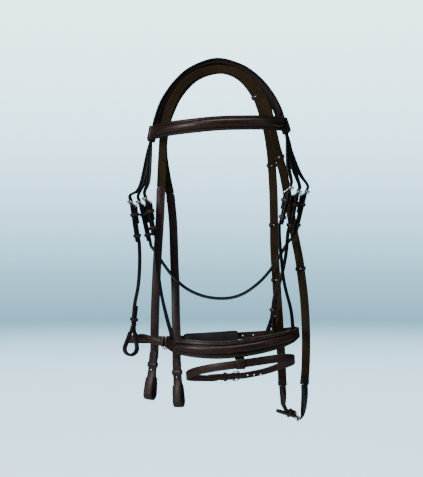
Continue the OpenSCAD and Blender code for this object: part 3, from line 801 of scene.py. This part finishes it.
def headpiece():
    path = Path(route(HEAD, 8))
    Piece().sweep(path, flat_section(HEAD_W, 3.6, 2.4), 2).build("headpiece", BLACK, "headstall")
    middle = path.part(0.04 * path.length, 0.92 * path.length, 80)
    pad = Path([(p, a, 1.0) for p, a, _ in middle]).tipped(10, 0.6, both=True)
    piece = Piece().sweep(pad, crowned_section(HEAD_W - 7, 11), 9.4)
    obj = piece.build("headpiece_padding", BROWN, "headstall")
    rim, inset = HEAD_W / 2 - 3.2, 26
    seams = Piece().stitch(path, (-rim, rim), inset, path.length / MM - inset, 0.25)
    seams.build("headpiece_stitching", THREAD, "headstall")


def browband():
    band = Path(route(BROW, 8))
    piece = Piece().sweep(band, flat_section(BROW_H, 3.2, 1.8))
    for x in BROW_ENDS:
        s = math.copysign(1, x)
        st = Station((x, 0, -104), (s, 0, 0), (-0.26 * s, 0, 1), 0)
        loop_of(piece, st.matrix, 26.4, -5, 6, 0, BROW_H, 2.2, r=3.5)
    piece.build("browband", BROWN, "headstall")
    pad = Path(route(BROW, 8, short=1)).tipped(9, 0.55, both=True)
    piece = Piece().sweep(pad, crowned_section(BROW_H / 2 + 2.5, 5.4, 12), 4.0)
    obj = piece.build("browband_padding", BROWN, "headstall")
    trim = Piece()
    for edge in (-8.3, 8.3):
        line = [p + (a * edge + f * 1.9) * MM for p, a, f in zip(pad.points, pad.across, pad.outward)]
        trim.tube(line, 0.75, seg=8)
    trim.build("browband_piping", MAROON, "headstall")
    inset = 20
    seams = Piece().stitch(band, (-10.7, 10.7, -9.3), inset, band.length / MM - inset, 1.5)
    seams.build("browband_stitching", THREAD, "headstall")


# ---- cheekpieces
CHEEK_START = {"left": [(-129, 0, -110), (-136, 0, -140), (-150, 0, -190), (-159, 0, -206)],
               "right": [(121.5, 0, -110), (125, 0, -140), (130, 0, -180)]}
CHEEK_MIDDLE = {"left": [(-164, 0, -340), (-169, 0, -380)], "right": [(107, 0, -340), (97, 0, -378)]}


def cheekpiece(side):
    st, bit, s, r = CHEEK[side], BIT[side], SIGN[side], BIT_RADIUS[side]
    w = CHEEK_W
    body = "cheek_" + side
    billet_piece("cheek_billet_" + side, body, [(CHEEK_START[side], st, s, 66)])
    rows = below_fold(st, -70, s) + faced(CHEEK_MIDDLE[side], s)
    rows += [bit.row(-1.8, z, -90 * s, TWIST) for z in (85, 66)]
    samples = fold_samples(st, fore(s)) + route(rows) + bit_samples(bit, r, fore(s))
    path = Path(resample(samples)).tipped(9)
    piece = Piece().sweep(path, flat_section(w, 2.8))
    ring = bit_samples(bit, r, fore(s), up=34, billet=34)
    lining = Path(resample([q for q in ring if q[0].z < bit.spot(0, 32).z]))
    piece.sweep(lining.tipped(6, 0.8, both=True), flat_section(w - 1, 2.4, 1.4), 2.2)
    stands_for = ["cheek_strap_" + side, "cheek_bit_end_" + side]
    piece.build("cheekpiece_" + side, BROWN, body, stands_for, holes=[fold_hole(st)])
    seams = fold_stitches(Piece(), path, w, 4, 26)
    fold_stitches(seams, path, w, 44, 66, both=False)
    seams.build("cheek_stitching_" + side, THREAD, body)
    buckle_piece("cheek_buckle_" + side, body, [st])
    tongue_piece("cheek_tongue_" + side, st)
    keepers = strap_loop(Piece(), st)
    loop_of(keepers, bit.matrix, w / 2 + 1.2, -4.4, 4.4, 54)
    keepers.build("cheek_keepers_" + side, KEEP, body)
    name = "cheek_runner_" + side
    strap_loop(Piece(), st, SINGLE, -57).build(name, KEEP, name)
    stud_piece("cheek_stud_" + side, body, bit)


# ---- throatlatch
THROAT = [(-133, 17, -324, 85), (-121, 16, -345, 70), (-104, 15, -370, 55), (-80, 15, -394, 35),
          (-48, 15, -410, 15), (-12, 15, -416, 0), (20, 15, -411, -12), (50, 15, -394, -30),
          (74, 16, -372, -50), (95, 18, -345, -70), (112, 20, -321, -85)]
THROAT_START = {"left": [(-129, 14, -110), (-134, 15, -140), (-148, 17, -190)],
                "right": [(120, 14, -110), (126, 15, -140), (142, 17, -190)]}


def throatlatch():
    sides = [(THROAT_START[k], THROAT_AT[k], SIGN[k], 66) for k in SIGN]
    billet_piece("throat_billets", "throatlatch", sides)
    left, right = THROAT_AT["left"], THROAT_AT["right"]
    rows = below_fold(left, -76, -1) + [(x, y, z, fan, TWIST) for x, y, z, fan in THROAT]
    rows += below_fold(right, -76, 1)[::-1]
    samples = fold_samples(left, fore(-1)) + route(rows) + fold_samples(right, fore(1))[::-1]
    path = Path(resample(samples))
    strap = Piece().sweep(path, flat_section(THROAT_W, 3.0))
    strap.build("throat_strap", BLACK, "throatlatch", holes=[fold_hole(left), fold_hole(right)])
    long = path.length / MM
    seams = fold_stitches(Piece(), path, THROAT_W, 4, 26)
    fold_stitches(seams, path, THROAT_W, long - 26, long - 4)
    seams.build("throat_stitching", THREAD, "throatlatch")
    buckle_piece("throat_buckles", "throatlatch", [left, right])
    loops = Piece()
    for st in (left, right):
        strap_loop(loops, st)
        strap_loop(loops, st, SINGLE, -57)
    loops.build("throat_keepers", KEEP, "throatlatch")
    for side, st in THROAT_AT.items():
        tongue_piece("throat_tongue_" + side, st)


# ---- noseband
NOSE = turned([(-119, -33.6, -489.5, 0.6), (-104, -53, -493, 0.85), (-70, -71, -498), (-25, -80, -502),
               (25, -80, -500), (70, -66, -495, 0.95), (104, -38, -490, 0.8), (121, -8, -485, 0.6)])
CRANK = turned([(-131.5, -24.2, -486), (-138, -22, -485.5), (-149, -17, -482), (-160, -8, -479),
                (-166, 8, -479), (-173, 22, -480), (-186, 30, -482), (-195, 35, -483), (-196, 41, -484),
                (-187, 45, -485), (-160, 46, -487), (-122, 46, -489), (-80, 46, -490)])
CHIN_SIDE = turned([(114.5, -11.5, -485), (118.5, -4, -484), (121, 8, -484), (117, 25, -484),
                    (104, 38, -486), (84, 44, -488), (60, 46, -490)])
HANGER_START = {"left": [(-129, -14, -110), (-132, -15, -140), (-138, -17, -190)],
                "right": [(121.5, -14, -110), (121.5, -15, -140), (120, -17, -180)]}
HANGER_END = {"left": [(-131, -20, -340, 90, TWIST), (-126, -24, -400, 90, TWIST), (-118, -31, -446, 90, 30),
                       (-112, -35.5, -472, 90, 38), (-112, -35.5, -490, 90, 38)],
              "right": [(96, -21, -330, -90, TWIST), (99, -22, -390, -90, TWIST), (108, -22, -440, -90, 27),
                        (110, -18.5, -470, -90, 30), (110, -18.5, -486, -90, 30)]}
RING = Station((-125.5, -28.5, -487.5), (-0.6, -0.8, 0), UPRIGHT, 0)
NOSE_H = 31
RING_BAR = 4.5


def ring_turn(piece, side, h):
    """A strap's end folded round one upright bar of the ring."""
    centre = RING.spot(0, 0, RING_BAR * side)
    pts = [(centre + at_mm(x, y, 0), Vector(UPRIGHT), 1.0) for x, y in arc(0, 0, 3.1, 0, 22.5, 16)]
    piece.sweep(Path(pts, closed=True), flat_section(h, 2.0, 1.6))


def noseband():
    sides = [(HANGER_START[k], HANGER[k], SIGN[k], 60) for k in SIGN]
    billet_piece("noseband_billets", "noseband", sides)
    hangers, seams = Piece(), Piece()
    for side, st in HANGER.items():
        s = SIGN[side]
        rows = below_fold(st, -66, s) + HANGER_END[side]
        path = Path(resample(fold_samples(st, fore(s)) + route(rows)))
        hangers.sweep(path, flat_section(HANGER_W, 2.6))
        fold_stitches(seams, path, HANGER_W, 4, 26)
    holes = [fold_hole(st) for st in HANGER.values()]
    hangers.build("noseband_hangers", BLACK, "noseband", holes=holes)
    band = Path(route(NOSE, 8))
    piece = Piece().sweep(band, flat_section(NOSE_H, 3.6, 2.2))
    ring_turn(piece, 1, 18)
    piece.build("noseband_band", BROWN, "noseband")
    pad = Path(route(NOSE, 8, short=1)).tipped(12, 0.5, both=True)
    piece = Piece().sweep(pad, crowned_section(NOSE_H / 2, 6.0, 12), 4.6)
    obj = piece.build("noseband_padding", BROWN, "noseband")
    trim = Piece()
    for edge in (-9.0, 9.0):
        rows = zip(pad.points, pad.across, pad.outward, pad.scales)
        line = [p + (a * edge * s + f * 2.1) * MM for p, a, f, s in rows]
        trim.tube(line, 0.85, seg=8)
    trim.build("noseband_piping", MAROON, "noseband")
    seams.stitch(band, (-12.6, 12.6, 10.9), 20, band.length / MM - 14, 1.7)
    seams.build("noseband_stitching", THREAD, "noseband")
    buckle_piece("noseband_buckles", "noseband", list(HANGER.values()))
    loops = Piece()
    for st in HANGER.values():
        strap_loop(loops, st)
        strap_loop(loops, st, SINGLE, -49)
    strap_loop(loops, CHIN)
    loops.build("noseband_keepers", KEEP, "noseband")
    for side, st in HANGER.items():
        tongue_piece("noseband_tongue_" + side, st)


def crank_and_chin():
    outline = [q for corner in round_corners(-RING_BAR, RING_BAR, 11.4, 1.5) for q in corner]
    ring = Piece().tube([RING.spot(0, z, y) for y, z in outline], 1.25, closed=True, up=RING.x)
    ring.build("crank_ring", STEEL, "noseband", sharp=60)
    crank = Path(route(CRANK))
    piece = Piece().sweep(crank, flat_section(CHIN_W, 2.6))
    patch = Path(route([(*row, 0.96) for row in CRANK[:3]])).tipped(5, 0.6)
    piece.sweep(patch, flat_section(CHIN_W, 2.2), -2.5)
    ring_turn(piece, -1, CHIN_W)
    piece.build("crank_strap", KEEP, "noseband")
    rows = [(-92, 33.6, -490), (-40, 33.3, -490.3), (10, 33.6, -490)]
    pad = Path(straight(rows, UPRIGHT, 16)).tipped(7, 0.72, both=True)
    front = Piece().sweep(pad, crowned_section(23, 5.4, 12), 0.6)
    front = front.build("chin_pad_cushion", PAD, "noseband")
    turn = Path(resample(fold_samples(CHIN, UPRIGHT, 24)))
    back = Piece().sweep(turn, flat_section(CHIN_W, 2.6))
    rows = [(-76, 39.5, -490), (-58, 39.6, -490), (-40, 39.5, -490)]
    block = Path(straight(rows, UPRIGHT, 6)).tipped(4, 0.7, both=True)
    back.sweep(block, flat_section(CHIN_W, 7.6))
    back.build("chin_pad_fold", BLACK, "noseband", ["chin_pad"], holes=[fold_hole(CHIN)])
    chin = Path(route(CHIN_SIDE + past_buckle(CHIN, 0, 90, 44))).tipped(9)
    strap = Piece().sweep(chin, flat_section(CHIN_W, 2.8))
    strap.build("chin_strap", BROWN, "noseband", holes=pin_holes(CHIN, (39, 59)))
    seams = Piece().stitch(crank, (-5, 5), 3, 19, -3.7)
    seams.stitch(pad, (-9.6, 9.6), 6, 96, 1.5)
    seams.build("crank_stitching", THREAD, "noseband")
    buckle_piece("chin_buckle", "noseband", [CHIN])
    tongue_piece("chin_tongue", CHIN)


# ---- flash strap
FLASH_FRONT = turned([(-40, 6, -562), (-66, 4, -560), (-84, -8, -556, 1.1), (-89, -28, -550, 1.2),
                      (-76, -54, -541, 1.25), (-42, -77, -533, 1.25), (8, -85.2, -528, 1.25),
                      (52, -78, -525, 1.25), (86, -60, -525, 1.25), (107, -34, -530, 1.25),
                      (105, -12, -538, 1.2), (84, 5, -547, 1.1), (54, 12, -556)])


def flash():
    st = Station((8, -84, -528), (0, -1, 0), (1, 0, 0), 0)
    piece = Piece()
    wide = 17
    loop_of(piece, st.matrix, 8.4, -6.6, 5.6, 1, wide, 2.0, r=2.6)
    tab = Path(straight([(8, -77.2, z) for z in (-520, -510, -501)], (1, 0, 0), 4))
    piece.sweep(tab, flat_section(wide, 2.2))
    for z in (-522.5, -528, -533.5):
        rib = [at_mm(x, -90.5, z) for x in (1.3, 5, 9, 13, 16.7)]
        piece.tube(rib, [0.5, 0.9, 0.95, 0.9, 0.5], seg=8, up=UPRIGHT)
    piece.build("flash_loop", KEEP, "noseband")
    rows = [FLASH.row(LAYER / 2 - BAR_IN - 0.2, z, 0, 90) for z in (-22, -28)]
    rows += FLASH_FRONT + past_buckle(FLASH, 0, 90, 50)
    path = Path(resample(fold_samples(FLASH, UPRIGHT, 24) + route(rows))).tipped(9)
    holes = pin_holes(FLASH, (27, 39, 51)) + [fold_hole(FLASH, -2 - BAR_IN)]
    Piece().sweep(path, flat_section(FLASH_W, 2.6)).build("flash_strap", KEEP, "flash", holes=holes)
    seams = fold_stitches(Piece(), path, FLASH_W, 17.8, 18)
    seams.build("flash_stitching", THREAD, "flash")
    buckle_piece("flash_buckle", "flash", [FLASH])
    tongue_piece("flash_tongue", FLASH)
    strap_loop(Piece(), FLASH).build("flash_keeper", KEEP, "flash_keeper")


# ---- reins
REINS = {
    "near": [(-116, 0, -202, -90, 90), (-112, -3, -165, -90, 90), (-106, -8, -118, -88, 90),
             (-98, -11, -78, -80, 84), (-84, -12, -46, -62, 74), (-62, -13, -16, -45, 62),
             (-32, -13, 2, -22, 54), (0, -13, 7, 0, 50), (30, -13, 2, 22, 54), (56, -12, -14, 45, 62),
             (76, -9, -39, 62, 72), (88, -5, -67, 78, 82), (94, -1, -98, 86, 88)]
    + turned([(101, 4, -137), (106, 7, -160), (114, 17, -200), (121, 32, -250), (127, 38, -300),
              (133, 37, -345), (135, 34, -370), (138, 28, -430), (137, 24, -490), (133, 21, -545),
              (128, 20, -585)], 90),
    "off": [(-101, 30, -215, -90, 90), (-106, 26, -180, -90, 90), (-109, 20, -135, -90, 90),
            (-104, 15, -98, -88, 86), (-90, 10, -62, -70, 72), (-69, 7, -29, -48, 60),
            (-38, 4, -3, -24, 52), (0, 3, 7, 0, 50), (29, 3, 1, 22, 54), (52, 4, -17, 42, 62),
            (70, 5, -45, 62, 74), (78, 6, -68, 80, 84), (87, 8, -108, 88, 90)]
    + turned([(91, 12, -145), (92, 16, -174), (92, 23, -230), (90, 28, -285), (88, 31, -330),
              (88, 30, -388), (88, 24, -445), (88, 21, -490), (88, 22, -540), (87, 22, -585)], 90)}
REIN_TOP = {"near": turned([(-116, 0, -203.5), (-121, -2, -255), (-129, -4, -320), (-137, -1, -390),
                            (-143, 5, -450)], -90),
            "off": turned([(-101, 30, -216.5), (-99, 31, -270), (-101, 33, -340), (-102, 31, -390),
                           (-104, 24, -440), (-105, 20, -485)], -90)}
REIN_STOPS = {"near": (14, 19), "off": (10, 14, 16, 18)}
WEB_T = 2.4
RIVET = [(1.7, 3.0), (1.8, 3.4), (1.5, 3.8), (0.9, 4.1), (0.2, 4.2)]


def rein_station(side, i):
    """A station on a rein at one of its rows."""
    rows = REINS[side]
    along = (Vector(rows[i + 1][:3]) - Vector(rows[i - 1][:3])).normalized()
    wide = route([rows[i], rows[i]], 1)[0][1]
    return Station(rows[i][:3], along.cross(square_to(along, wide)), along, REIN_W)


def reins():
    stops, rivets = Piece(), Piece()
    for side, rows in REINS.items():
        path = Path(route(rows, 6))
        piece = Piece().sweep(path, ribbed_section(REIN_W, WEB_T))
        web = piece.build("rein_web_" + side, WEB, "headstall")
        for i in REIN_STOPS[side]:
            st = rein_station(side, i)
            loop_of(stops, st.matrix, 9.2, -2.4, 2.4, 0, 7, 1.5)
            for turn in (math.pi, 0):
                rivets.lathe(st.matrix @ Matrix.Rotation(turn, 4, "Z"), RIVET, 16)
    stops.build("rein_stops", KEEP, "headstall")
    rivets.build("rein_stop_rivets", STEEL, "headstall", sharp=60)


def rein_end(side):
    bit, r, w = REIN_BIT[side], REIN_BIT_RADIUS, REIN_W
    body = "rein_end_" + side
    wide = -bit.y
    rows = REIN_TOP[side] + [bit.row(-1.8, z, -90, 90) for z in (80, 66)]
    path = Path(resample(route(rows) + bit_samples(bit, r, wide))).tipped(9)
    piece = Piece().sweep(path, flat_section(w, 2.8))
    ring = bit_samples(bit, r, wide, up=34, billet=34)
    lining = Path(resample([(p, a, 1.08) for p, a, _ in ring if p.z < bit.spot(0, 32).z]))
    piece.sweep(lining.tipped(6, 0.8, both=True), flat_section(w, 2.4, 1.4), 2.3)
    piece.build(body, REIN, body)
    seams = Piece()
    if side == "near":
        seams.stitch(path, (-6, 6), 4, 40, 1.4)
    fold_stitches(seams, path, w, path.length / MM - 36, path.length / MM - 12)
    seams.build("rein_end_stitching_" + side, THREAD, body)
    stud_piece("rein_stud_" + side, body, bit)
    loop = loop_of(Piece(), bit.matrix, w / 2 + 0.8, -4.2, 4.2, 53.5, 9, 1.5)
    loop.build("rein_end_keepers_" + side, REIN, body)


LAPS = {"near": (52, KEEP, BLACK), "off": (16, REIN, BROWN)}


def lap(name, path, start, long, off, mat, body):
    """A leather tab with a round end, lapped over a joint from start millimetres along a path."""
    tab = Path(path.part(start * MM, long * MM, 14)).tipped(8, 0.3)
    Piece().sweep(tab, flat_section(REIN_W + 0.6, 1.7), off).build(name, mat, body)
    seams = Piece().stitch(tab, (-5.8, 5.8), 4, long - 6, off + math.copysign(0.85, off))
    seams.build(name + "_stitching", THREAD, body)


def lap_joints():
    """The leather laps over both ends of each web: one on the rein's end, and two on the bight's."""
    for side, (long, top_leather, end_leather) in LAPS.items():
        rows = [(x, y, z + up, fan, lean) for up, (x, y, z, fan, lean) in zip((3, 0, 0), REIN_TOP[side])]
        top = Path(route(rows[::-1], 12))
        start = top.length / MM - long
        lap("rein_lap_top_" + side, top, start, long, 2.2, top_leather, "rein_end_" + side)
        web = Path(route(REINS[side], 6)[::-1])
        # The laps start half a millimetre beyond the web's own end.
        beyond = web.points[0] - web.along[0] * 0.5 * MM
        web = Path([(beyond, web.wide[0], 1.0), *zip(web.points, web.wide, web.scales)])
        for face, off in (("front", -2.9), ("back", 2.9)):
            lap("rein_lap_" + face + "_" + side, web, 0, 14, off, end_leather, "headstall")


BIGHT_END = [(128, 20, -586, 90, 90), (127, 20, -606, 90, 70), (124, 20, -628, 90, 45)]
BIGHT_TURN = [(87, 22, -586, 90, 90), (87, 20, -605, 90, 66), (86, 20, -620, 90, 36)]


def bight():
    wide = -BIGHT.y
    rows = [(BIGHT.spot(0, z), wide, 1.0) for z in (15, 5, -8, -22, -34)]
    path = Path(resample(route(BIGHT_END) + rows)).tipped(9)
    strap = Piece().sweep(path, flat_section(BIGHT_W, 3.4))
    strap.build("rein_billet_end", BLACK, "rein_bight", holes=pin_holes(BIGHT))
    rows = [(BIGHT.spot(-6.5, z), wide, 1.0) for z in (-16, -10)]
    path = Path(resample(route(BIGHT_TURN) + rows + fold_samples(BIGHT, wide)[3:]))
    Piece().sweep(path, flat_section(BIGHT_W, 3.0)).build("rein_buckle_end", BROWN, "rein_bight")
    buckle_piece("rein_buckle", "rein_bight", [BIGHT])
    tongue_piece("rein_tongue", BIGHT)
    strap_loop(Piece(), BIGHT, DOUBLED, -11, 5).build("rein_bight_keeper", KEEP, "rein_bight")


make_camera()
reins()
headpiece()
browband()
for cheek in ("left", "right"):
    cheekpiece(cheek)
throatlatch()
noseband()
crank_and_chin()
flash()
for rein in ("near", "off"):
    rein_end(rein)
lap_joints()
bight()
make_light()
make_floor()
